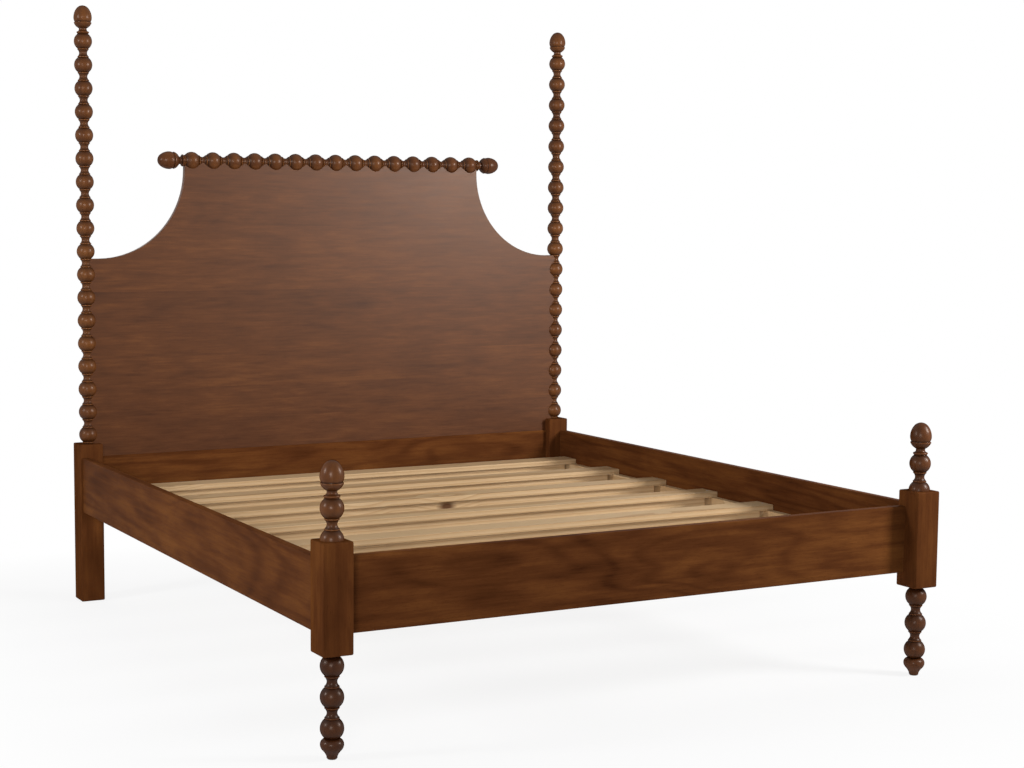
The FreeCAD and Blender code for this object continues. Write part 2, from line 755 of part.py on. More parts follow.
glides = []
for side, sign in sides.items():
    head_post(side, sign)
    spire(side, sign)
    foot_post(side, sign)
    side_rail(side, sign)
    finial(f"finial_head_{side}", f"{sign} * post_x", "post_y", "spire_top")
    finial(f"finial_foot_{side}", f"{sign} * post_x", "-post_y", "foot_top")
    crest_spot = (f"{sign} * crest_end", "post_y", "crest_height")
    finial(f"finial_crest_{side}", *crest_spot, quarter_turn(along_y, sign))
    for end, way in ends.items():
        spot = (f"{sign} * post_x", f"{way} * post_y", "0")
        glides.append(rod(f"glide_{side}_{end}", "glide_radius", "glide_height", *spot))
keep(group("floor_glides", glides), "floor_glides")
headboard_panel()
crest_rail()
lower_rail()
foot_rail()
slats()

doc.recompute()

faults = [thing.Name for thing in doc.Objects if {"Invalid", "Error"} & set(thing.State)]
faults += [thing.Label for thing in subparts if thing.Shape.isNull() or not thing.Shape.isValid()]
if faults:
    raise RuntimeError("failed: " + ", ".join(faults))

os.makedirs("parts", exist_ok=True)
for thing in subparts:
    thing.Shape.exportStep(f"parts/{thing.Label}.step")
    print(f"{thing.Label}: {len(thing.Shape.Solids)} solid, {thing.Shape.Volume / 1000:.1f} cm3")
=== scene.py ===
import math

import bmesh
import bpy
from mathutils import Euler, Matrix, Vector


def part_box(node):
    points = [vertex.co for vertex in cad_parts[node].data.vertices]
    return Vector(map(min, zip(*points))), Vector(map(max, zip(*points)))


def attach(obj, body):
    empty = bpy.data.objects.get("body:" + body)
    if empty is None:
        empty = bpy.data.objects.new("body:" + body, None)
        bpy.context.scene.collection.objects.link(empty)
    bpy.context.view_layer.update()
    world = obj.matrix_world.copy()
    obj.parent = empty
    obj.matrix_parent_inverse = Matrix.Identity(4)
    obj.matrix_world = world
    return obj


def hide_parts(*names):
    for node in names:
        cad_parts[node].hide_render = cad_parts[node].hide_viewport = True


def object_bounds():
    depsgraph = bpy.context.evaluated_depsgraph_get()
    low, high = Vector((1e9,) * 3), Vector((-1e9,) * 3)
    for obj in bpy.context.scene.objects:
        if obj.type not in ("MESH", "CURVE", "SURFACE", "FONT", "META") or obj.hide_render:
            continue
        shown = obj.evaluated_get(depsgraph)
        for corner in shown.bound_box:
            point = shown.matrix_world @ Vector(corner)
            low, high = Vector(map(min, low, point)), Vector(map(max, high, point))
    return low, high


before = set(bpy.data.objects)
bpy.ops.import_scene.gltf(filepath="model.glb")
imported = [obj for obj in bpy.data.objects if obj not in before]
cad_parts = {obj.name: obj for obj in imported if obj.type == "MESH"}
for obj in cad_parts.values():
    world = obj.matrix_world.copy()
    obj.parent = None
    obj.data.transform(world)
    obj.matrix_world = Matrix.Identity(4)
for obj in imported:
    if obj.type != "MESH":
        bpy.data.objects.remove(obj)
cadLow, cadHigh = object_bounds()
scene = bpy.context.scene
mm = 0.001
sides = {"left": -1, "right": 1}
low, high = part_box("crest_rail")
crestAxis = Vector((0.0, (low.y + high.y) / 2, high.z - (high.y - low.y) / 2))
print("frame loaded:", len(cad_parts), "nodes")


# node helpers

def addNode(tree, kind, inputs=None, **settings):
    node = tree.nodes.new(kind)
    for key, value in settings.items():
        setattr(node, key, value)
    for key, value in (inputs or {}).items():
        if isinstance(value, bpy.types.NodeSocket):
            tree.links.new(value, node.inputs[key])
        else:
            node.inputs[key].default_value = value
    return node


def calc(tree, operation, first, second=0.0, third=0.0, clamp=False):
    inputs = {0: first, 1: second, 2: third}
    node = addNode(tree, "ShaderNodeMath", inputs, operation=operation, use_clamp=clamp)
    return node.outputs[0]


def blendColour(tree, factor, first, second, blend="MIX"):
    node = addNode(tree, "ShaderNodeMix", data_type="RGBA", blend_type=blend, clamp_factor=True)
    for index, value in ((0, factor), (6, first), (7, second)):
        if isinstance(value, bpy.types.NodeSocket):
            tree.links.new(value, node.inputs[index])
        else:
            node.inputs[index].default_value = value if index == 0 else (*value, 1.0)
    return node.outputs[2]


def spread(tree, value, low, high, lowOut=0.0, highOut=1.0):
    inputs = {"Value": value, "From Min": low, "From Max": high, "To Min": lowOut, "To Max": highOut}
    return addNode(tree, "ShaderNodeMapRange", inputs, clamp=True).outputs[0]


def colourRamp(tree, factor, stops):
    node = addNode(tree, "ShaderNodeValToRGB", {0: factor})
    ramp = node.color_ramp
    while len(ramp.elements) < len(stops):
        ramp.elements.new(0.5)
    for element, (place, colour) in zip(ramp.elements, stops):
        element.position = place
        element.color = (*colour, 1.0)
    return node.outputs[0]


def noise(tree, vector, scale, detail=3.0, roughness=0.5, distortion=0.0):
    inputs = {"Vector": vector, "Scale": scale, "Detail": detail,
              "Roughness": roughness, "Distortion": distortion}
    return addNode(tree, "ShaderNodeTexNoise", inputs).outputs["Fac"]


def newMaterial(name):
    material = bpy.data.materials.new(name)
    material.use_nodes = True
    tree = material.node_tree
    return material, tree, tree.nodes["Principled BSDF"]


def objectSpot(tree):
    return addNode(tree, "ShaderNodeTexCoord").outputs["Object"]


axisIndex = {"X": 0, "Y": 1, "Z": 2}


def stretched(tree, spot, axis, amount):
    scale = [1.0, 1.0, 1.0]
    scale[axisIndex[axis]] = amount
    return addNode(tree, "ShaderNodeMapping", {"Vector": spot, "Scale": scale}).outputs[0]


def centred(tree, value, amount, base):
    offset = calc(tree, "SUBTRACT", base, amount / 2)
    return calc(tree, "MULTIPLY_ADD", value, amount, offset)


def addBump(tree, shader, height, depth, strength):
    bump = addNode(tree, "ShaderNodeBump", {"Height": height, "Distance": depth, "Strength": strength})
    tree.links.new(bump.outputs[0], shader.inputs["Normal"])


# stained wood: stain clouds, mottle, bands, figure lines, fibre streaks, pores, dark glaze with painted shade
# in the creases and on turned flanks, and crowns lightened by wear with a painted highlight

stainedWoodLook = {
    "dark": (0.040, 0.0118, 0.0038), "mid": (0.090, 0.0290, 0.0086), "light": (0.158, 0.0560, 0.0148),
    "rampPlaces": (0.15, 0.5, 0.85),
    "glazeShadeColour": (0.0150, 0.0038, 0.0010), "glazeShadeAmount": 0.86, "glazeShadePatch": 0.3,
    "wornHighlightAmount": 0.28,   # the turnings' profile value below zero lightens a crown: rubbed bare, and a painted highlight
    "toneAmount": 0.10,
    # each noise has a stretch along the grain, a scale, then detail, roughness and distortion
    "cloudStretch": 0.34, "cloudScale": 5.2, "cloudNoise": (3.0, 0.5, 0.8),
    "mottleStretch": 0.32, "mottleScale": 16.0, "mottleNoise": (3.0, 0.55, 0.4),
    "bandScale": 52.0, "bandNoise": (3.0, 0.55, 0.2),
    "figureStretch": 0.16, "figureScale": 4.6, "figureNoise": (2.0, 0.4, 0.3),
    "figureLines": 13.0, "figureSharpness": 2.5,
    "grainStretch": 0.07, "streakNoise": (4.0, 0.6),
    "poreScale": 820.0, "poreNoise": (2.0, 0.5), "poreRange": (0.60, 0.70), "poreAmount": 0.3,
    "boardShift": (9.0, 0.4, 0.4),
    "roughRange": (0.3, 0.9), "glazeShadeRoughness": 0.4,
    "reliefShare": 0.5, "bumpStrength": 0.6,
    "sheenTint": (1.0, 0.83, 0.72, 1.0),
}
woodKinds = {
    "turned": {
        "depth": 0.56, "cloud": 0.60, "mottle": 0.50, "band": 0.40, "bandStretch": 0.05,
        "streak": 0.22, "streakScale": 190.0, "figure": 0.05, "relief": 0.00002,
        "specular": 0.19, "smooth": 0.28, "rough": 0.36,
        "flatSpecular": 0.01, "flatRough": 0.24, "glossFade": (0.22, 0.68),
    },
    "panel": {
        "depth": 0.46, "cloud": 0.30, "mottle": 0.32, "band": 0.40, "bandStretch": 0.10,
        "streak": 0.46, "streakScale": 165.0, "figure": 0.06, "relief": 0.0001,
        "specular": 0.28, "smooth": 0.38, "rough": 0.48,
        "boardHeight": 0.118, "boardTone": 0.08,
    },
    "rail": {
        "depth": 0.61, "cloud": 0.60, "mottle": 0.50, "band": 0.46, "bandStretch": 0.05,
        "streak": 0.36, "streakScale": 190.0, "figure": 0.14, "relief": 0.0001,
        "specular": 0.01, "smooth": 0.52, "rough": 0.66,
    },
}


def stainedWood(name, grain, kindName):
    look, kind = stainedWoodLook, woodKinds[kindName]
    material, tree, shader = newMaterial(name)
    spot = objectSpot(tree)
    if "boardHeight" in kind:   # glued boards, counted down from the crest, each cut from another plank
        height = addNode(tree, "ShaderNodeSeparateXYZ", {0: spot}).outputs["Z"]
        down = calc(tree, "SUBTRACT", crestAxis.z, height)
        board = calc(tree, "FLOOR", calc(tree, "DIVIDE", down, kind["boardHeight"]))
        pick = addNode(tree, "ShaderNodeTexWhiteNoise", {"W": board}, noise_dimensions="1D")
        shift = addNode(tree, "ShaderNodeVectorMath", {0: pick.outputs["Color"], 1: look["boardShift"]},
                        operation="MULTIPLY")
        spot = addNode(tree, "ShaderNodeVectorMath", {0: spot, 1: shift.outputs[0]}).outputs[0]

    def grainNoise(part, stretch, scale):
        return noise(tree, stretched(tree, spot, grain, stretch), scale, *look[part + "Noise"])

    cloud = grainNoise("cloud", look["cloudStretch"], look["cloudScale"])
    mottle = grainNoise("mottle", look["mottleStretch"], look["mottleScale"])
    band = grainNoise("band", kind["bandStretch"], look["bandScale"])
    contour = grainNoise("figure", look["figureStretch"], look["figureScale"])
    ripple = calc(tree, "SINE", calc(tree, "MULTIPLY", contour, look["figureLines"] * 2 * math.pi))
    line = calc(tree, "POWER", calc(tree, "MULTIPLY_ADD", ripple, 0.5, 0.5), look["figureSharpness"])
    streak = grainNoise("streak", look["grainStretch"], kind["streakScale"])
    pore = spread(tree, grainNoise("pore", look["grainStretch"], look["poreScale"]), *look["poreRange"])
    tone = addNode(tree, "ShaderNodeAttribute", attribute_name="stainTone").outputs["Fac"]
    glazeShade = addNode(tree, "ShaderNodeAttribute", attribute_name="glazeShade").outputs["Fac"]

    depth = centred(tree, cloud, kind["cloud"], kind["depth"])
    depth = centred(tree, mottle, kind["mottle"], depth)
    depth = centred(tree, band, kind["band"], depth)
    depth = centred(tree, streak, kind["streak"], depth)
    depth = calc(tree, "MULTIPLY_ADD", line, -kind["figure"], depth)
    depth = calc(tree, "MULTIPLY_ADD", tone, look["toneAmount"], depth)
    if "boardHeight" in kind:
        depth = centred(tree, pick.outputs["Value"], kind["boardTone"], depth)
    # the profile value darkens the wood above zero, glaze with painted shade, and lightens it below zero,
    # wear with a painted highlight
    wornHighlight = calc(tree, "MULTIPLY", glazeShade, -look["wornHighlightAmount"], clamp=True)
    depth = calc(tree, "ADD", depth, wornHighlight)
    stops = tuple(zip(look["rampPlaces"], (look["dark"], look["mid"], look["light"])))
    colour = colourRamp(tree, depth, stops)
    colour = blendColour(tree, calc(tree, "MULTIPLY", pore, look["poreAmount"]), colour, look["glazeShadeColour"])
    patchy = calc(tree, "MULTIPLY_ADD", streak, look["glazeShadePatch"], 1 - look["glazeShadePatch"] / 2)
    glazeShadeMask = calc(tree, "MULTIPLY", calc(tree, "MULTIPLY", glazeShade, look["glazeShadeAmount"]), patchy, clamp=True)
    colour = blendColour(tree, glazeShadeMask, colour, look["glazeShadeColour"])
    tree.links.new(colour, shader.inputs["Base Color"])

    rough = calc(tree, "ADD", streak, calc(tree, "MULTIPLY", glazeShadeMask, look["glazeShadeRoughness"]))
    rough = spread(tree, rough, *look["roughRange"], kind["smooth"], kind["rough"])
    if "flatSpecular" in kind:   # blocks are rubbed flat, and a turning's gloss dies at its rim
        turned = addNode(tree, "ShaderNodeAttribute", attribute_name="turned").outputs["Fac"]
        shine = spread(tree, turned, 0.0, 1.0, kind["flatSpecular"], kind["specular"])
        edge = addNode(tree, "ShaderNodeLayerWeight", {"Blend": 0.5}).outputs["Facing"]
        shine = calc(tree, "MULTIPLY", shine, spread(tree, edge, *kind["glossFade"], 1.0, 0.0))
        tree.links.new(shine, shader.inputs["Specular IOR Level"])
        rough = calc(tree, "ADD", rough, spread(tree, turned, 0.0, 1.0, kind["flatRough"], 0.0))
    else:
        shader.inputs["Specular IOR Level"].default_value = kind["specular"]
    tree.links.new(rough, shader.inputs["Roughness"])
    raised, sunk = (calc(tree, "MULTIPLY", part, look["reliefShare"]) for part in (streak, pore))
    addBump(tree, shader, calc(tree, "SUBTRACT", raised, sunk), kind["relief"], look["bumpStrength"])
    shader.inputs["Specular Tint"].default_value = look["sheenTint"]
    return material


# bare slat wood: pale softwood with planer marks and a few knots

slatWoodLook = {
    "pale": (0.56, 0.39, 0.22), "late": (0.40, 0.235, 0.105), "knot": (0.10, 0.043, 0.017),
    "grainStretch": 0.06,
    "layerScale": 24.0, "figure": 7.0, "figureDetail": 2.0, "figureScale": 0.2,
    "layerSharpness": 2.0, "layerAmount": 0.7,
    "fibreScale": 260.0, "fibreNoise": (4.0, 0.6), "fibreAmount": 0.45, "fibreBase": 0.15,
    "cloudScale": 2.4, "cloudDetail": 3.0, "cloudAmount": 0.5,
    "knotStretch": 0.55, "knotScale": 3.6, "knotSize": 0.085, "knotCore": 0.35,
    "swirlReach": 3.2, "swirlAmount": 14.0,
    "planerGap": 60.0, "planerAmount": 0.06, "relief": 0.0003, "bumpStrength": 0.7,
    "fibreRange": (0.3, 0.7), "smooth": 0.54, "rough": 0.72, "specular": 0.12,
}


def slatWood(name, grain, layers):
    look = slatWoodLook
    material, tree, shader = newMaterial(name)
    spot = objectSpot(tree)
    along = stretched(tree, spot, grain, look["grainStretch"])
    knotSpot = stretched(tree, spot, grain, look["knotStretch"])
    cells = addNode(tree, "ShaderNodeTexVoronoi", {"Vector": knotSpot, "Scale": look["knotScale"]})
    knotGap = cells.outputs["Distance"]
    knot = spread(tree, knotGap, look["knotSize"], look["knotSize"] * look["knotCore"])
    swirl = spread(tree, knotGap, look["knotSize"] * look["swirlReach"], 0.0)
    layerWave = addNode(tree, "ShaderNodeTexWave", {
        "Vector": along, "Scale": look["layerScale"], "Distortion": look["figure"],
        "Detail": look["figureDetail"], "Detail Scale": look["figureScale"],
        "Phase Offset": calc(tree, "MULTIPLY", swirl, look["swirlAmount"]),
    }, wave_type="BANDS", bands_direction=layers, wave_profile="SAW").outputs["Fac"]
    fibre = noise(tree, along, look["fibreScale"], *look["fibreNoise"])
    cloud = noise(tree, spot, look["cloudScale"], look["cloudDetail"])
    sharp = calc(tree, "POWER", layerWave, look["layerSharpness"])
    depth = calc(tree, "MULTIPLY", sharp, look["layerAmount"])
    depth = calc(tree, "SUBTRACT", depth, look["fibreBase"])
    depth = calc(tree, "MULTIPLY_ADD", fibre, look["fibreAmount"], depth)
    depth = centred(tree, cloud, look["cloudAmount"], depth)
    colour = blendColour(tree, depth, look["pale"], look["late"])
    colour = blendColour(tree, knot, colour, look["knot"])
    tree.links.new(colour, shader.inputs["Base Color"])
    axis = addNode(tree, "ShaderNodeSeparateXYZ", {0: spot}).outputs[axisIndex[grain]]
    planer = calc(tree, "SINE", calc(tree, "MULTIPLY", axis, look["planerGap"] * 2 * math.pi))
    addBump(tree, shader, calc(tree, "MULTIPLY_ADD", planer, look["planerAmount"], fibre),
            look["relief"], look["bumpStrength"])
    rough = spread(tree, fibre, *look["fibreRange"], look["smooth"], look["rough"])
    tree.links.new(rough, shader.inputs["Roughness"])
    shader.inputs["Specular IOR Level"].default_value = look["specular"]
    return material


# metal fittings: zinc steel with brushed streaks, brass for the threaded inserts

fittingLooks = {
    "steel": {"bright": (0.44, 0.445, 0.45), "dull": (0.27, 0.275, 0.28), "smooth": 0.26, "rough": 0.46},
    "brass": {"bright": (0.78, 0.56, 0.24), "dull": (0.46, 0.30, 0.11), "smooth": 0.24, "rough": 0.42},
}
fittingGrain = {
    "brushStretch": 0.06, "brushScale": 1400.0, "brushDetail": 2.0, "brushShare": 0.5,
    "spangleScale": 90.0, "spangleDetail": 3.0, "spangleShare": 0.5,
    "wearRange": (0.3, 0.7), "relief": 0.00005, "bumpStrength": 0.5,
}


def fittingMetal(name):
    look, grain = fittingLooks[name], fittingGrain
    material, tree, shader = newMaterial(name + "Fitting")
    spot = objectSpot(tree)
    brushed = stretched(tree, spot, "Z", grain["brushStretch"])
    lines = noise(tree, brushed, grain["brushScale"], grain["brushDetail"])
    spangle = noise(tree, spot, grain["spangleScale"], grain["spangleDetail"])
    wear = calc(tree, "MULTIPLY_ADD", lines, grain["brushShare"],
                calc(tree, "MULTIPLY", spangle, grain["spangleShare"]))
    least, most = grain["wearRange"]
    colour = colourRamp(tree, wear, ((least, look["dull"]), (most, look["bright"])))
    tree.links.new(colour, shader.inputs["Base Color"])
    tree.links.new(spread(tree, wear, least, most, look["rough"], look["smooth"]), shader.inputs["Roughness"])
    addBump(tree, shader, lines, grain["relief"], grain["bumpStrength"])
    shader.inputs["Metallic"].default_value = 1.0
    return material


# floor glides: hard nylon with a moulded grain

glideLook = {
    "colour": (0.052, 0.045, 0.040), "scuff": (0.14, 0.13, 0.12),
    "grainScale": 1500.0, "grainDetail": 2.0, "grainRange": (0.3, 0.7),
    "scuffScale": 140.0, "scuffNoise": (4.0, 0.7), "scuffRange": (0.52, 0.75),
    "smooth": 0.42, "rough": 0.6, "relief": 0.0001, "bumpStrength": 0.5,
}


def glidePlastic():
    look = glideLook
    material, tree, shader = newMaterial("glideNylon")
    spot = objectSpot(tree)
    grain = noise(tree, spot, look["grainScale"], look["grainDetail"])
    scuff = spread(tree, noise(tree, spot, look["scuffScale"], *look["scuffNoise"]), *look["scuffRange"])
    tree.links.new(blendColour(tree, scuff, look["colour"], look["scuff"]), shader.inputs["Base Color"])
    rough = spread(tree, grain, *look["grainRange"], look["smooth"], look["rough"])
    tree.links.new(rough, shader.inputs["Roughness"])
    addBump(tree, shader, grain, look["relief"], look["bumpStrength"])
    return material


postWood = stainedWood("postWood", "Z", "turned")
crestWood = stainedWood("crestWood", "X", "turned")
panelWood = stainedWood("panelWood", "X", "panel")
crossRailWood = stainedWood("crossRailWood", "X", "rail")
sideRailWood = stainedWood("sideRailWood", "Y", "rail")
slatBoardWood = slatWood("slatBoardWood", "X", "Z")
cleatWood = slatWood("cleatWood", "Y", "X")
steel = fittingMetal("steel")
brass = fittingMetal("brass")
glideNylon = glidePlastic()
print("finishes made")


# turned profiles: rows of (radius, height, glaze with painted shade) from the foot of a turning to its top,
# in millimetres

bead = {
    "radius": 31.5, "pitch": 81.7, "quirkRadius": 18.4, "quirkStep": 0.1,
    "ringRadius": 20.0, "ringDip": 18.9, "ringWidth": 4.0, "ringInset": 0.3, "ringDeg": 85, "ringFoot": 0.5,
    "coveFoot": 0.4, "neckRadius": 13.7, "beadRows": 12, "ringRows": 4, "coveRows": 6,
    # darkened flanks, quirks, coves and ends: glaze with painted shade; ring crowns below zero: wear with a
    # painted highlight
    "flankGlazeShade": 0.98, "flankCurve": 1.5, "quirkGlazeShade": 1.0, "ringGlazeShade": -0.3, "ringCrown": -0.9,
    "neckGlazeShade": 0.30, "coveGlazeShade": 0.65, "coveCurve": 1.5, "endGlazeShade": 0.9, "neckEndGlazeShade": 0.6,
    "toneSpread": 1.0,   # no two beads of a row take the stain alike
}
turningSegments = 56


def arcRows(centre, size, fromDeg, toDeg, count, glazeShades):
    rows = []
    for step in range(count + 1):
        share = step / count
        angle = math.radians(fromDeg + (toDeg - fromDeg) * share)
        rows.append((centre[0] + size[0] * math.cos(angle), centre[1] + size[1] * math.sin(angle),
                     glazeShades[0] + (glazeShades[1] - glazeShades[0]) * share))
    return rows


def halfBead(stop):
    quirk, dip, width = bead["quirkRadius"], bead["ringDip"], bead["ringWidth"]
    beadEnd = math.sqrt(bead["radius"] ** 2 - quirk ** 2)
    ringEnd = beadEnd + width
    endDeg = math.degrees(math.asin(beadEnd / bead["radius"]))
    flank = arcRows((0.0, 0.0), (bead["radius"],) * 2, 0.0, endDeg, bead["beadRows"], (0.0, 1.0))
    rows = [(radius, height, bead["flankGlazeShade"] * share ** bead["flankCurve"])
            for radius, height, share in flank]
    if stop == "bead":
        return rows + [(0.0, beadEnd, bead["endGlazeShade"])]
    rows += [(quirk, beadEnd + bead["quirkStep"], bead["quirkGlazeShade"])]
    ring = arcRows((dip, beadEnd + width / 2), (bead["ringRadius"] - dip, width / 2 - bead["ringInset"]),
                   -bead["ringDeg"], bead["ringDeg"], bead["ringRows"], (bead["ringGlazeShade"],) * 2)
    middle = bead["ringRows"] // 2
    ring[middle] = (*ring[middle][:2], bead["ringCrown"])
    rows += ring
    if stop == "ring":
        return rows + [(dip - bead["ringFoot"], ringEnd, bead["endGlazeShade"]), (0.0, ringEnd, bead["endGlazeShade"])]
    neckTop = bead["pitch"] / 2
    flare = dip - bead["coveFoot"] - bead["neckRadius"]
    for step in range(bead["coveRows"] + 1):
        rest = 1 - step / bead["coveRows"]
        rows.append((bead["neckRadius"] + flare * rest ** 2, neckTop - (neckTop - ringEnd) * rest,
                     bead["neckGlazeShade"] + bead["coveGlazeShade"] * rest ** bead["coveCurve"]))
    if stop == "neck":
        return rows
    return rows + [(0.0, neckTop, bead["neckEndGlazeShade"])]   # a closed end at the neck


def wholeBead(lower, upper):
    under = [(radius, -height, glazeShade) for radius, height, glazeShade in reversed(halfBead(lower))]
    return under[:-1] + halfBead(upper)


def moved(rows, lift):
    return [(radius, height + lift, glazeShade) for radius, height, glazeShade in rows]


def turnMesh(name, rows, tone=0.0, segments=turningSegments):
    spots, glazeShades, loops, faces = [], [], [], []
    for radius, height, glazeShade in rows:
        if radius < 0.001:
            loops.append([len(spots)] * segments)   # the row closes in a point on the axis
            spots.append((0.0, 0.0, height * mm))
            glazeShades.append(glazeShade)
            continue
        loops.append(list(range(len(spots), len(spots) + segments)))
        for step in range(segments):
            angle = 2 * math.pi * step / segments
            spots.append((radius * mm * math.cos(angle), radius * mm * math.sin(angle), height * mm))
            glazeShades.append(glazeShade)
    for lower, upper in zip(loops, loops[1:]):
        for step in range(segments):
            after = (step + 1) % segments
            corners = [lower[step], lower[after], upper[after], upper[step]]
            faces.append(list(dict.fromkeys(corners)))
    mesh = bpy.data.meshes.new(name)
    mesh.from_pydata(spots, [], faces)
    mesh.attributes.new("glazeShade", "FLOAT", "POINT").data.foreach_set("value", glazeShades)
    mesh.attributes.new("turned", "FLOAT", "POINT").data.foreach_set("value", [1.0] * len(spots))
    mesh.attributes.new("stainTone", "FLOAT", "POINT").data.foreach_set("value", [tone] * len(spots))
    return mesh


def newObject(name, mesh):
    thing = bpy.data.objects.new(name, mesh)
    scene.collection.objects.link(thing)
    return thing


def softenNormals(mesh, degrees=38.0):
    mesh.polygons.foreach_set("use_smooth", [True] * len(mesh.polygons))
    mesh.set_sharp_from_angle(angle=math.radians(degrees))


def setPiece(name, mesh, body, slotName, *nodes):
    piece = newObject(name, mesh)
    softenNormals(mesh)
    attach(piece, body)
    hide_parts(*nodes)
    return piece


# a row of turned beads between a foot and a cap, with the square block that they grow out of

def newTree(name, sockets):
    tree = bpy.data.node_groups.new(name, "GeometryNodeTree")
    for label, kind in sockets:
        tree.interface.new_socket(name=label, in_out="INPUT", socket_type="NodeSocket" + kind)
    tree.interface.new_socket(name="Geometry", in_out="OUTPUT", socket_type="NodeSocketGeometry")
    given = addNode(tree, "NodeGroupInput").outputs
    return tree, given


def joined(tree, *parts):
    node = addNode(tree, "GeometryNodeJoinGeometry")
    for part in parts:
        tree.links.new(part, node.inputs[0])
    return node.outputs[0]


def finished(tree, geometry, finish):
    whole = addNode(tree, "GeometryNodeRealizeInstances", {"Geometry": geometry}).outputs[0]
    shown = addNode(tree, "GeometryNodeSetMaterial", {"Geometry": whole, "Material": finish}).outputs[0]
    addNode(tree, "NodeGroupOutput", {"Geometry": shown})


def randomNumber(tree, least, most, seed):
    node = addNode(tree, "FunctionNodeRandomValue", {"Seed": seed}, data_type="FLOAT")
    ranges = [socket for socket in node.inputs if socket.type == "VALUE"]
    for socket, value in zip(ranges, (least, most)):
        if isinstance(value, bpy.types.NodeSocket):
            tree.links.new(value, socket)
        else:
            socket.default_value = value
    return [socket for socket in node.outputs if socket.type == "VALUE"][0]


seamGap = 0.00002   # beads that meet at a neck are welded within this


def beadRowTree():
    tree, given = newTree("beadRow", (
        ("Foot", "Object"), ("Bead", "Object"), ("Cap", "Object"), ("Block", "Object"),
        ("Between", "Int"), ("Pitch", "Float"), ("Place", "Vector"), ("Turn", "Rotation"),
        ("Low Tone", "Float"), ("High Tone", "Float"), ("Seed", "Int"), ("Finish", "Material")))
    shapes = {label: addNode(tree, "GeometryNodeObjectInfo", {"Object": given[label]}).outputs["Geometry"]
              for label in ("Foot", "Bead", "Cap", "Block")}
    step = addNode(tree, "ShaderNodeCombineXYZ", {"Z": given["Pitch"]}).outputs[0]
    line = addNode(tree, "GeometryNodeMeshLine",
                   {"Count": given["Between"], "Start Location": step, "Offset": step})
    beads = addNode(tree, "GeometryNodeInstanceOnPoints",
                    {"Points": line.outputs[0], "Instance": shapes["Bead"]}).outputs[0]
    drawn = randomNumber(tree, given["Low Tone"], given["High Tone"], given["Seed"])
    beads = addNode(tree, "GeometryNodeStoreNamedAttribute",
                    {"Geometry": beads, "Name": "stainTone", "Value": drawn},
                    data_type="FLOAT", domain="INSTANCE").outputs[0]
    after = addNode(tree, "ShaderNodeMath", {0: given["Between"], 1: 1.0}, operation="ADD").outputs[0]
    capLift = addNode(tree, "ShaderNodeVectorMath", {0: step, "Scale": after}, operation="SCALE").outputs[0]
    cap = addNode(tree, "GeometryNodeTransform",
                  {"Geometry": shapes["Cap"], "Translation": capLift}).outputs[0]
    row = joined(tree, shapes["Foot"], beads, cap)
    row = addNode(tree, "GeometryNodeRealizeInstances", {"Geometry": row}).outputs[0]
    row = addNode(tree, "GeometryNodeMergeByDistance", {"Geometry": row, "Distance": seamGap}).outputs[0]
    row = addNode(tree, "GeometryNodeTransform",
                  {"Geometry": row, "Translation": given["Place"], "Rotation": given["Turn"]}).outputs[0]
    finished(tree, joined(tree, row, shapes["Block"]), given["Finish"])
    return tree


beadRow = beadRowTree()


def runTree(name, tree, values):
    host = newObject(name + "Host", bpy.data.meshes.new(name + "Host"))
    modifier = host.modifiers.new("rows", "NODES")
    modifier.node_group = tree
    for item in tree.interface.items_tree:
        if item.in_out == "INPUT" and values.get(item.name) is not None:
            modifier[item.identifier] = values[item.name]
    seen = host.evaluated_get(bpy.context.evaluated_depsgraph_get())
    mesh = bpy.data.meshes.new_from_object(seen)
    mesh.name = name
    host.modifiers.remove(modifier)
    bpy.data.objects.remove(host)
    return mesh


def turnedRow(name, beads, footRows, capRows, place, turn, seed, finish, block=None, tone=0.0):
    parts = {"Foot": turnMesh(name + "Foot", footRows, tone), "Cap": turnMesh(name + "Cap", capRows, tone),
             "Bead": turnMesh(name + "Bead", wholeBead("neck", "neck"), tone)}
    if block:
        parts["Block"] = block
    values = {label: newObject(name + label, mesh) for label, mesh in parts.items()}
    helpers = list(values.values())
    values.update({"Between": beads - 2, "Pitch": bead["pitch"] * mm, "Place": place, "Turn": turn,
                   "Low Tone": tone - bead["toneSpread"], "High Tone": tone + bead["toneSpread"],
                   "Seed": seed, "Finish": finish})
    mesh = runTree(name, beadRow, values)
    for helper in helpers:
        bpy.data.objects.remove(helper)
    return mesh


def squareBlock(name, low, high, roundOver, steps=4):
    shape = bmesh.new()
    bmesh.ops.create_cube(shape, size=1.0)
    size, middle = high - low, (high + low) / 2
    placed = Matrix.Translation(middle) @ Matrix.Diagonal((*size, 1.0))
    bmesh.ops.transform(shape, matrix=placed, verts=shape.verts)
    bmesh.ops.bevel(shape, geom=shape.edges[:], offset=roundOver, segments=steps, profile=0.5,
                    affect="EDGES")
    mesh = bpy.data.meshes.new(name)
    shape.to_mesh(mesh)
    shape.free()
    return mesh


upright = (0.0, 0.0, 0.0)


# head posts: a square leg, nine beads, and the bored end that takes the spire's bolt

headPost = {
    "blockTop": 568.0, "blockRound": 4.5, "firstBead": 599.72, "beads": 9, "tone": 1.6, "seed": 11,
    # the bore darkens from its mouth to its floor: painted shade
    "boreRadius": 6.0, "boreDepth": 37.0, "boreChamfer": (0.6, 0.5), "boreGlazeShade": (0.5, 0.8, 1.0),
}


def boredNeck():
    post, top = headPost, bead["pitch"] / 2
    bore, floor = post["boreRadius"], top - post["boreDepth"]
    wider, deeper = post["boreChamfer"]
    mouth, wall, bottom = post["boreGlazeShade"]
    return wholeBead("neck", "neck") + [
        (bore + wider, top, mouth), (bore, top - deeper, wall), (bore, floor, bottom), (0.0, floor, bottom)]


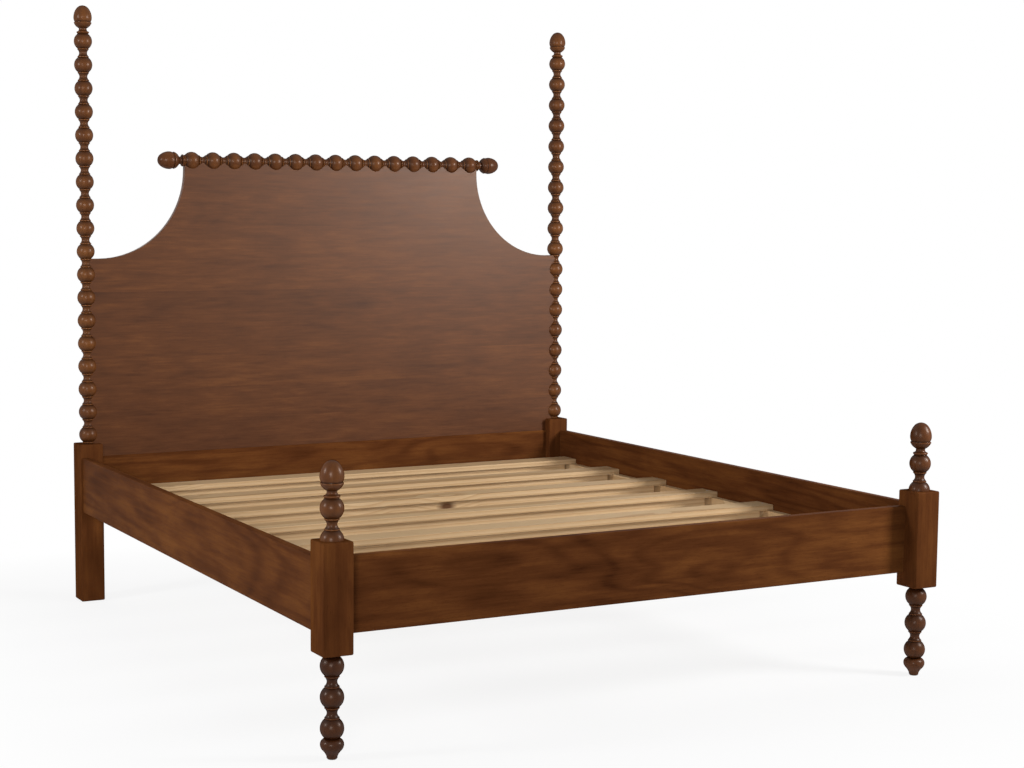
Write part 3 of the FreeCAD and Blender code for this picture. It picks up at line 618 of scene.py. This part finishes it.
for side, sign in sides.items():
    low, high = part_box("head_post_" + side)
    axis = (low + high) / 2
    blockHigh = Vector((high.x, high.y, headPost["blockTop"] * mm))
    block = squareBlock("headLeg", low, blockHigh, headPost["blockRound"] * mm)
    place = (axis.x, axis.y, headPost["firstBead"] * mm)
    mesh = turnedRow("headPost_" + side, headPost["beads"], wholeBead("end", "neck"), boredNeck(),
                     place, upright, headPost["seed"] + sign, postWood, block, headPost["tone"])
    setPiece("headPost_" + side, mesh, "frame", "stained_wood", "head_post_" + side)
print("head posts made")


# spires: nine beads from the seam up to the finial's seat

spire = {"beads": 9, "tone": 1.6, "seed": 23}
for side, sign in sides.items():
    low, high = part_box("spire_" + side)
    axis = (low + high) / 2
    place = (axis.x, axis.y, low.z + bead["pitch"] / 2 * mm)
    mesh = turnedRow("spire_" + side, spire["beads"], wholeBead("end", "neck"), wholeBead("neck", "bead"),
                     place, upright, spire["seed"] + sign, postWood, tone=spire["tone"])
    setPiece("spireTurned_" + side, mesh, side + "_spire", "stained_wood", "spire_" + side)
print("spires made")


# foot posts: a turned leg, a square block, a half bead and a bead

footPost = {
    "blockBottom": 275.0, "blockTop": 568.0, "blockRound": 4.5,
    # the legs take a lower tone, the left more than the right: painted shade where less light falls low down
    "legFirstBead": 79.87, "legBeads": 3, "legShadeTones": {"left": -2.8, "right": -0.6}, "legSeed": 37,
    "topBeads": 2, "topTone": 0.0, "topSeed": 41,
    # the toe swells out of its tip into a bulb, and an ankle joins that to the first bead
    # the toe's underside, the top of the bulb and the ankle are darkened: glaze with painted shade
    "tipBottom": 2.0, "tipChamfer": 0.8, "toeRadius": 14.0, "toeTop": 4.0, "toeGlazeShade": (0.8, 0.3),
    "flareRadius": 24.1, "flareTop": 22.6, "flareCurve": 1.7, "flareRows": 7,
    "bulbRadius": 31.2, "bulbMiddle": 38.6,
    "bulbLow": (21.0, 21.0), "bulbLowDeg": 49.0, "bulbLowRows": 8,
    "bulbHigh": (16.6, 16.0), "bulbHighDeg": 70.0, "bulbHighRows": 7, "bulbGlazeShade": 0.5, "bulbCurve": 3,
    "ankle": (18.2, -25.9, 1.0),
}


def legFoot():
    post = footPost
    toe, bottom, chamfer = post["toeRadius"], post["tipBottom"], post["tipChamfer"]
    under, toeGlazeShade = post["toeGlazeShade"]
    rows = [(0.0, bottom, under), (toe - chamfer, bottom, under), (toe, bottom + chamfer, toeGlazeShade)]
    for step in range(1, post["flareRows"] + 1):
        share = step / post["flareRows"]
        rows.append((toe + (post["flareRadius"] - toe) * share ** post["flareCurve"],
                     post["toeTop"] + (post["flareTop"] - post["toeTop"]) * share, toeGlazeShade * (1 - share)))
    bulb, middle = post["bulbRadius"], post["bulbMiddle"]
    rows += arcRows((bulb - post["bulbLow"][0], middle), post["bulbLow"], -post["bulbLowDeg"], 0.0,
                    post["bulbLowRows"], (0.0, 0.0))[1:]
    highArc = arcRows((bulb - post["bulbHigh"][0], middle), post["bulbHigh"], 0.0, post["bulbHighDeg"],
                      post["bulbHighRows"], (0.0, 1.0))[1:]
    rows += [(radius, height, post["bulbGlazeShade"] * share ** post["bulbCurve"])
             for radius, height, share in highArc]
    rows = moved(rows, -post["legFirstBead"])
    return rows + [post["ankle"]] + wholeBead("bead", "neck")[1:]


for side, sign in sides.items():
    low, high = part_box("foot_post_" + side)
    axis = (low + high) / 2
    bottom, top = footPost["blockBottom"] * mm, footPost["blockTop"] * mm
    block = squareBlock("footBlock", Vector((low.x, low.y, bottom)), Vector((high.x, high.y, top)),
                        footPost["blockRound"] * mm)
    place = (axis.x, axis.y, footPost["legFirstBead"] * mm)
    leg = turnedRow("footLeg_" + side, footPost["legBeads"], legFoot(), wholeBead("neck", "end"),
                    place, upright, footPost["legSeed"] + sign, postWood, block, footPost["legShadeTones"][side])
    place = (axis.x, axis.y, top)
    mesh = turnedRow("footPost_" + side, footPost["topBeads"], wholeBead("end", "neck"),
                     wholeBead("neck", "bead"), place, upright, footPost["topSeed"] + sign, postWood, leg,
                     footPost["topTone"])
    setPiece("footPost_" + side, mesh, "frame", "stained_wood", "foot_post_" + side)
print("foot posts made")


# crest rail: fifteen beads lying along the top of the headboard

crest = {"beads": 15, "tone": 0.5, "seed": 51}
firstBead = -(crest["beads"] - 1) / 2 * bead["pitch"] * mm
lying = (0.0, math.pi / 2, 0.0)
mesh = turnedRow("crestRow", crest["beads"], wholeBead("ring", "neck"), wholeBead("neck", "ring"),
                 (firstBead, crestAxis.y, crestAxis.z), lying, crest["seed"], crestWood, tone=crest["tone"])
setPiece("crestTurned", mesh, "frame", "stained_wood", "crest_rail")
print("crest rail made")


# acorn finials: a base ring, a collar, a cup with a rim and an egg

finial = {
    # the glaze values darken the base's underside, the quirks, neck, cup foot, groove, the egg's underside
    # and its tip: glaze with painted shade; below zero they lighten the collar crown and the rim roll: wear
    # with a painted highlight
    "baseRadius": 19.5, "baseHeight": 2.2, "baseRoll": 1.0, "baseRows": 4, "baseDeg": 75, "baseInset": 0.15,
    "baseQuirk": 1.3, "baseGlazeShade": (0.9, 0.5, 1.0),
    "collarRadius": 21.8, "collarTop": 8.4, "collarCore": 18.4, "collarDeg": 82, "collarRows": 10,
    "collarGlazeShade": -0.2, "collarCrown": -0.8,
    "flareRadius": 18.0, "flareTop": 14.8, "flareRows": 6, "flareGlazeShade": (0.12, 0.7), "neckRadius": 13.6,
    "neckInset": 1.2, "neckGlazeShade": 0.5,
    "cupBottom": 19.5, "cupCentre": 49.06, "cupSphere": 32.55, "cupRows": 10, "cupGlazeShade": (0.7, 0.1),
    "rimRadius": 30.6, "rimBottom": 38.0, "rimRoll": 2.6, "rimDeg": (6, 78), "rimRows": 6,
    "rimGlazeShade": (-0.6, 0.3), "grooveInset": 0.2, "grooveTop": 41.7, "grooveGlazeShade": 1.0,
    "eggBase": 42.0, "eggRadius": 31.7, "eggMiddle": 56.0,
    "lowRadius": 28.34, "lowRows": 8, "lowGlazeShade": 0.9, "lowCurve": 5,
    "sideRadius": 52.4, "sideRows": 12, "sideGlazeShade": (0.0, 0.1),
    "tipRadius": 26.0, "tipRows": 8, "tipGlazeShade": (0.1, 0.5), "top": 98.39,
    "tones": {"head": 1.0, "foot": -0.6, "crest": -0.4},
}


def finialRows():
    shape = finial
    base, foot, roll = shape["baseRadius"], shape["baseHeight"], shape["baseRoll"]
    under, side, quirk = shape["baseGlazeShade"]
    rows = [(0.0, 0.0, under), (base - roll, 0.0, under)]
    rows += arcRows((base - roll, foot / 2), (roll, foot / 2 - shape["baseInset"]),
                    -shape["baseDeg"], shape["baseDeg"], shape["baseRows"], (side, side))
    rows += [(base - shape["baseQuirk"], foot, quirk)]

    core, middle = shape["collarCore"], (foot + shape["collarTop"]) / 2
    collar = arcRows((core, middle), (shape["collarRadius"] - core, middle - foot), -shape["collarDeg"],
                     shape["collarDeg"], shape["collarRows"], (shape["collarGlazeShade"],) * 2)
    crown = shape["collarRows"] // 2
    collar[crown] = (*collar[crown][:2], shape["collarCrown"])
    rows += collar
    neck, (least, more) = shape["neckRadius"], shape["flareGlazeShade"]
    for step in range(shape["flareRows"] + 1):
        rest = 1 - step / shape["flareRows"]
        rows.append((neck + (shape["flareRadius"] - neck) * rest ** 2,
                     shape["flareTop"] - (shape["flareTop"] - shape["collarTop"]) * rest,
                     least + more * rest ** 2))
    rows += [(neck, shape["cupBottom"] - shape["neckInset"], shape["neckGlazeShade"])]

    cup = [math.degrees(math.asin((shape[key] - shape["cupCentre"]) / shape["cupSphere"]))
           for key in ("cupBottom", "rimBottom")]
    rows += arcRows((0.0, shape["cupCentre"]), (shape["cupSphere"],) * 2, *cup,
                    shape["cupRows"], shape["cupGlazeShade"])
    rimRoll = shape["rimRoll"]
    groove = shape["rimRadius"] - rimRoll
    rows += arcRows((groove, shape["rimBottom"]), (rimRoll, rimRoll), *shape["rimDeg"],
                    shape["rimRows"], shape["rimGlazeShade"])
    rows += [(groove, shape["rimBottom"] + rimRoll, shape["grooveGlazeShade"]),
             (groove - shape["grooveInset"], shape["grooveTop"], shape["grooveGlazeShade"])]

    low, rise = shape["lowRadius"], shape["eggMiddle"] - shape["eggBase"]
    lowDeg = math.degrees(math.asin(rise / low))
    lowArc = arcRows((shape["eggRadius"] - low, shape["eggMiddle"]), (low, low), -lowDeg, 0,
                     shape["lowRows"], (1.0, 0.0))
    rows += [(radius, height, shape["lowGlazeShade"] * share ** shape["lowCurve"])
             for radius, height, share in lowArc]
    offset, tip = shape["sideRadius"] - shape["eggRadius"], shape["tipRadius"]
    meet = math.degrees(math.atan2(shape["top"] - tip - shape["eggMiddle"], offset))
    rows += arcRows((-offset, shape["eggMiddle"]), (shape["sideRadius"],) * 2, 0, meet,
                    shape["sideRows"], shape["sideGlazeShade"])[1:]
    rows += arcRows((0.0, shape["top"] - tip), (tip, tip), meet, 90,
                    shape["tipRows"], shape["tipGlazeShade"])[1:-1]
    return rows + [(0.0, shape["top"], shape["tipGlazeShade"][1])]


def setFinial(place, side, seat, turn, body, finish):
    name = place + "Finial_" + side
    mesh = turnMesh(name, finialRows(), finial["tones"][place])
    mesh.transform(Matrix.Translation(seat) @ Euler(turn).to_matrix().to_4x4())
    mesh.materials.append(finish)
    setPiece(name, mesh, body, "stained_wood", "finial_" + place + "_" + side)


for side, sign in sides.items():
    for place, body in (("head", side + "_spire"), ("foot", "frame")):
        low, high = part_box("finial_" + place + "_" + side)
        seat = Vector(((low.x + high.x) / 2, (low.y + high.y) / 2, high.z - finial["top"] * mm))
        setFinial(place, side, seat, upright, body, postWood)
    low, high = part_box("finial_crest_" + side)
    tip = high.x if sign > 0 else low.x
    seat = Vector((tip - sign * finial["top"] * mm, (low.y + high.y) / 2, (low.z + high.z) / 2))
    setFinial("crest", side, seat, (0.0, sign * math.pi / 2, 0.0), "frame", crestWood)
print("finials made")


# screws: countersunk heads with a cross recess, in rows along the cleats and the slats

screw = {
    "headRadius": 4.0, "headHeight": 2.6, "rimDrop": 0.25, "crownInset": 0.2,
    "shankRadius": 1.9, "tipLength": 3.0, "segments": 24, "seed": 71,
    "crossReach": 2.3, "crossHalf": 0.55, "crossDepth": 1.5, "crossTaper": 0.72,
}


def screwMesh(length):
    shape = bmesh.new()
    reach, half, count = screw["crossReach"], screw["crossHalf"], screw["segments"]
    cross = [(reach, -half), (reach, half), (half, half), (half, reach), (-half, reach), (-half, half),
             (-reach, half), (-reach, -half), (-half, -half), (-half, -reach), (half, -reach), (half, -half)]
    angles = [2 * math.pi * step / count for step in range(count)]
    ring = [(math.cos(angle), math.sin(angle)) for angle in angles]

    def row(points, size, height):
        return [shape.verts.new((x * size * mm, y * size * mm, height * mm)) for x, y in points]

    tip = row([(0.0, 0.0)], 1.0, -length)[0]
    shankLow = row(ring, screw["shankRadius"], -length + screw["tipLength"])
    shankHigh = row(ring, screw["shankRadius"], -screw["headHeight"])
    rim = row(ring, screw["headRadius"], -screw["rimDrop"])
    crown = row(ring, screw["headRadius"] - screw["crownInset"], 0.0)
    mouth = row(cross, 1.0, 0.0)
    floor = row(cross, screw["crossTaper"], -screw["crossDepth"])
    for step in range(count):
        shape.faces.new((tip, shankLow[(step + 1) % count], shankLow[step]))
    for lower, upper in ((shankLow, shankHigh), (shankHigh, rim), (rim, crown), (mouth, floor)):
        for step in range(len(lower)):
            after = (step + 1) % len(lower)
            shape.faces.new((lower[step], lower[after], upper[after], upper[step]))
    shape.faces.new(floor)
    edges = [shape.edges.get((loop[step], loop[(step + 1) % len(loop)]))
             for loop in (crown, mouth) for step in range(len(loop))]
    bmesh.ops.triangle_fill(shape, use_beauty=True, use_dissolve=False, edges=edges)
    bmesh.ops.recalc_face_normals(shape, faces=shape.faces)
    mesh = bpy.data.meshes.new("screw")
    shape.to_mesh(mesh)
    shape.free()
    return mesh


def screwRowTree():
    tree, given = newTree("screwRows", (
        ("Screw", "Object"), ("Count", "Int"), ("Step", "Vector"),
        ("Left First", "Vector"), ("Left Turn", "Rotation"),
        ("Right First", "Vector"), ("Right Turn", "Rotation"), ("Seed", "Int"), ("Finish", "Material")))
    shape = addNode(tree, "GeometryNodeObjectInfo", {"Object": given["Screw"]}).outputs["Geometry"]
    drawn = randomNumber(tree, 0.0, 2 * math.pi, given["Seed"])
    spun = addNode(tree, "ShaderNodeCombineXYZ", {"Z": drawn}).outputs[0]
    rows = []
    for label in ("Left", "Right"):
        first, facing = given[label + " First"], given[label + " Turn"]
        line = addNode(tree, "GeometryNodeMeshLine",
                       {"Count": given["Count"], "Start Location": first, "Offset": given["Step"]}).outputs[0]
        turn = addNode(tree, "FunctionNodeRotateRotation", {"Rotation": facing, "Rotate By": spun},
                       rotation_space="LOCAL").outputs[0]
        rows.append(addNode(tree, "GeometryNodeInstanceOnPoints",
                            {"Points": line, "Instance": shape, "Rotation": turn}).outputs[0])
    finished(tree, joined(tree, *rows), given["Finish"])
    return tree


screwRows = screwRowTree()


def setScrews(name, node, length, values):
    unit = newObject(name + "Unit", screwMesh(length))
    mesh = runTree(name, screwRows, {"Screw": unit, "Seed": screw["seed"], "Finish": steel, **values})
    bpy.data.objects.remove(unit)
    setPiece(name, mesh, "frame", "steel", node)


slatCount = 7
firstY, lastY = (sum(corner.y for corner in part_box("slat_" + str(number))) / 2 for number in (1, slatCount))
slatStep = (lastY - firstY) / (slatCount - 1)
low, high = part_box("slat_screws")
reach = high.x - screw["headRadius"] * mm
setScrews("slatScrews", "slat_screws", (high.z - low.z) / mm, {
    "Count": slatCount, "Step": (0.0, slatStep, 0.0),
    "Left First": (-reach, firstY, high.z), "Left Turn": upright,
    "Right First": (reach, firstY, high.z), "Right Turn": upright})

low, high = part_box("cleat_screws")
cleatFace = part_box("slat_cleat_right")[0].x
cleatZ = (low.z + high.z) / 2
cleatFirst = low.y + screw["headRadius"] * mm
setScrews("cleatScrews", "cleat_screws", (high.x - cleatFace) / mm, {
    "Count": slatCount - 1, "Step": (0.0, slatStep, 0.0),
    "Left First": (-cleatFace, cleatFirst, cleatZ), "Left Turn": (0.0, math.pi / 2, 0.0),
    "Right First": (cleatFace, cleatFirst, cleatZ), "Right Turn": (0.0, -math.pi / 2, 0.0)})
print("screws made")


# spire bolts: threaded rods with chamfered ends

boltThread = {"pitch": 1.25, "depth": 0.7, "segments": 24, "rowsPerTurn": 6, "chamfer": 1.5}


def threadMesh(name, low, high):
    thread, middle = boltThread, (low + high) / 2
    radius, length = (high.x - low.x) / 2 / mm, (high.z - low.z) / mm
    rows, count = int(length / thread["pitch"] * thread["rowsPerTurn"]), thread["segments"]
    spots, faces = [], []
    for row in range(rows + 1):
        height = length * row / rows
        edge = min(height, length - height)
        for step in range(count):
            share = step / count
            phase = (height / thread["pitch"] - share) % 1.0
            ridge = radius - thread["depth"] * abs(2 * phase - 1)
            ridge = min(ridge, radius - thread["chamfer"] + edge) * mm
            angle = 2 * math.pi * share
            spots.append((middle.x + ridge * math.cos(angle), middle.y + ridge * math.sin(angle),
                          low.z + height * mm))
    for row in range(rows):
        lower, upper = row * count, (row + 1) * count
        for step in range(count):
            after = (step + 1) % count
            faces.append((lower + step, lower + after, upper + after, upper + step))
    faces.append(tuple(reversed(range(count))))
    faces.append(tuple(range(rows * count, (rows + 1) * count)))
    mesh = bpy.data.meshes.new(name)
    mesh.from_pydata(spots, [], faces)
    mesh.materials.append(steel)
    return mesh


for side in sides:
    setPiece("spireBolt_" + side, threadMesh("spireBolt_" + side, *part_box("spire_bolt_" + side)),
             side + "_spire", "steel", "spire_bolt_" + side)
print("spire bolts made")


# finishes on the boards, cleats and fittings that keep their own shape

boardFinishes = {
    "headboard_panel": panelWood, "headboard_lower_rail": crossRailWood, "foot_rail": crossRailWood,
    "side_rail": sideRailWood, "slat_cleat": cleatWood, "slat": slatBoardWood, "spire_insert": brass,
    "floor_glides": glideNylon, "hook_plate_screws": steel, "slot_plate_screws": steel,
    "rail_hook_plate": steel, "post_slot_plate": steel,
}
for name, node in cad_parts.items():
    match = max((key for key in boardFinishes if name.startswith(key)), key=len, default=None)
    if match and not node.hide_render:
        node.data.materials.clear()
        node.data.materials.append(boardFinishes[match])
print("boards finished")


# floor, lights and camera

stageLook = {
    "floorSize": 60.0, "floorColour": (0.88, 0.88, 0.89, 1.0), "glow": 0.86, "fadeLength": 0.9,
    "ambient": 0.13, "backGlow": 0.85, "backEdge": 0.3,
}


def whiteToCamera(tree):
    ray = addNode(tree, "ShaderNodeLightPath").outputs
    seen = calc(tree, "MAXIMUM", ray["Is Camera Ray"], ray["Is Glossy Ray"])
    return calc(tree, "MAXIMUM", seen, ray["Is Transmission Ray"])


def makeFloor():
    half = stageLook["floorSize"] / 2
    mesh = bpy.data.meshes.new("studioFloor")
    corners = [(-half, -half, 0), (half, -half, 0), (half, half, 0), (-half, half, 0)]
    mesh.from_pydata(corners, [], [(0, 1, 2, 3)])
    material = bpy.data.materials.new("studioFloor")
    material.use_nodes = True
    tree = material.node_tree
    tree.nodes.clear()
    matte = addNode(tree, "ShaderNodeBsdfDiffuse", {"Color": stageLook["floorColour"]})
    glow = addNode(tree, "ShaderNodeEmission", {"Strength": 1.0})
    reach = addNode(tree, "ShaderNodeVectorMath", {0: objectSpot(tree)}, operation="ABSOLUTE").outputs[0]
    past = addNode(tree, "ShaderNodeVectorMath", {0: reach, 1: cadHigh}, operation="SUBTRACT").outputs[0]
    past = addNode(tree, "ShaderNodeSeparateXYZ", {0: past}).outputs
    away = calc(tree, "MAXIMUM", past["X"], past["Y"])
    fade = spread(tree, away, 0.0, stageLook["fadeLength"], stageLook["glow"], 1.0)
    share = calc(tree, "MULTIPLY", whiteToCamera(tree), fade)
    mixed = addNode(tree, "ShaderNodeMixShader", {0: share, 1: matte.outputs[0], 2: glow.outputs[0]})
    addNode(tree, "ShaderNodeOutputMaterial", {"Surface": mixed.outputs[0]})
    mesh.materials.append(material)
    floor = newObject("studioFloor", mesh)


def makeWorld():
    world = bpy.data.worlds.new("studio")
    scene.world = world
    world.use_nodes = True
    tree = world.node_tree
    heading = addNode(tree, "ShaderNodeTexCoord").outputs["Generated"]
    behind = addNode(tree, "ShaderNodeSeparateXYZ", {0: heading}).outputs["Y"]
    ambient = stageLook["ambient"]
    lit = spread(tree, behind, stageLook["backEdge"], 1.0, ambient, ambient + stageLook["backGlow"])
    strength = calc(tree, "MAXIMUM", whiteToCamera(tree), lit)
    back = tree.nodes["Background"]
    back.inputs["Color"].default_value = (1.0, 1.0, 1.0, 1.0)
    tree.links.new(strength, back.inputs["Strength"])


lamps = {
    "leftBox": {"place": (-5.0, -0.1, 2.46), "aim": (-0.4, 0.2, 0.9), "size": (0.6, 0.9),
                "power": 59.0, "spreadDeg": 140.0},
    "rightBox": {"place": (2.92, -2.71, 2.3), "aim": (0.1, 1.07, 1.6), "size": (0.8, 1.2),
                 "power": 88.0, "spreadDeg": 120.0},
    "frontFill": {"place": (-4.0, -5.6, 1.9), "aim": (0.0, 1.07, 1.6), "size": (1.1, 1.1),
                  "power": 36.0, "spreadDeg": 80.0},
}


def makeLamp(name, look):
    light = bpy.data.lights.new(name, "AREA")
    light.shape = "RECTANGLE"
    light.size, light.size_y = look["size"]
    light.energy = look["power"]
    light.spread = math.radians(look["spreadDeg"])
    lamp = newObject(name, light)
    lamp.location = look["place"]
    heading = Vector(look["aim"]) - Vector(look["place"])
    lamp.rotation_euler = heading.to_track_quat("-Z", "Y").to_euler()


view = {"place": (-2.8200, -5.1974, 1.3933), "headingDeg": 26.897, "dipDeg": 5.505, "rollDeg": 0.252,
        "lens": 63.51, "shift": (0.0909, 0.0033)}


def makeCamera():
    data = bpy.data.cameras.new("photoView")
    data.lens = view["lens"]
    data.shift_x, data.shift_y = view["shift"]
    camera = newObject("photoView", data)
    camera.location = view["place"]
    aim = Euler((math.radians(90.0 - view["dipDeg"]), 0.0, -math.radians(view["headingDeg"]))).to_matrix()
    camera.rotation_euler = (aim @ Matrix.Rotation(math.radians(view["rollDeg"]), 3, "Z")).to_euler()
    scene.camera = camera


makeFloor()
makeWorld()
for name, look in lamps.items():
    makeLamp(name, look)
makeCamera()
scene.view_settings.view_transform = "Standard"
print("floor, lights and camera set")

bpy.context.view_layer.update()
